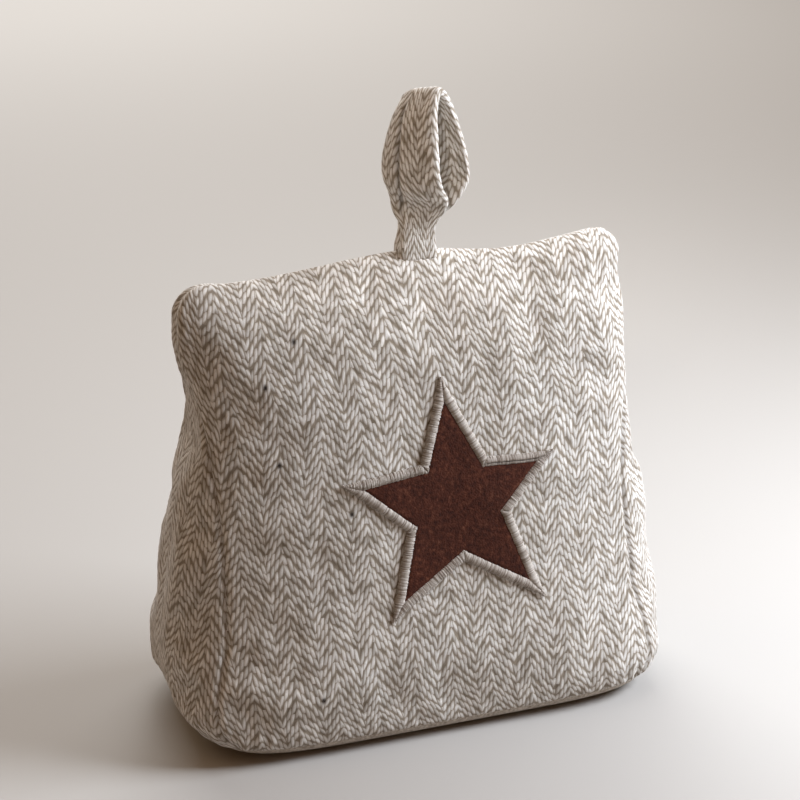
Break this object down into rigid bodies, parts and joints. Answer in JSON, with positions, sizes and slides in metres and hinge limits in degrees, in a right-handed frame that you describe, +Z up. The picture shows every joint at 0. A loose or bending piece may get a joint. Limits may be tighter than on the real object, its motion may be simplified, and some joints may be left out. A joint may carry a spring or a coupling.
{
  "type": "weighted fabric door stop",
  "caption": "Stuffed wedge-shaped bag of herringbone cloth with a flat weighted base, a carrying loop on its ridge and a felt star sewn on its front.",
  "frame": {"origin": "on the floor, at the middle of the flat base", "axes": "+Z up to the ridge and the loop, +X along the ridge to the right as the star is seen, -Y out of the front face with the star"},
  "size_m": [0.3087, 0.1528, 0.3735],
  "materials": {
    "herringbone_cloth": "matte herringbone tweed in off-white and grey-brown",
    "star_felt": "matte dark brown wool felt",
    "border_thread": "soft satin stitching in taupe",
    "loop_cloth": "matte herringbone tweed, folded double"
  },
  "bodies": {
    "root": {"bag_body": "herringbone_cloth", "star_applique": "star_felt", "star_border": "border_thread", "handle_loop": "loop_cloth"}
  },
  "joints": []
}
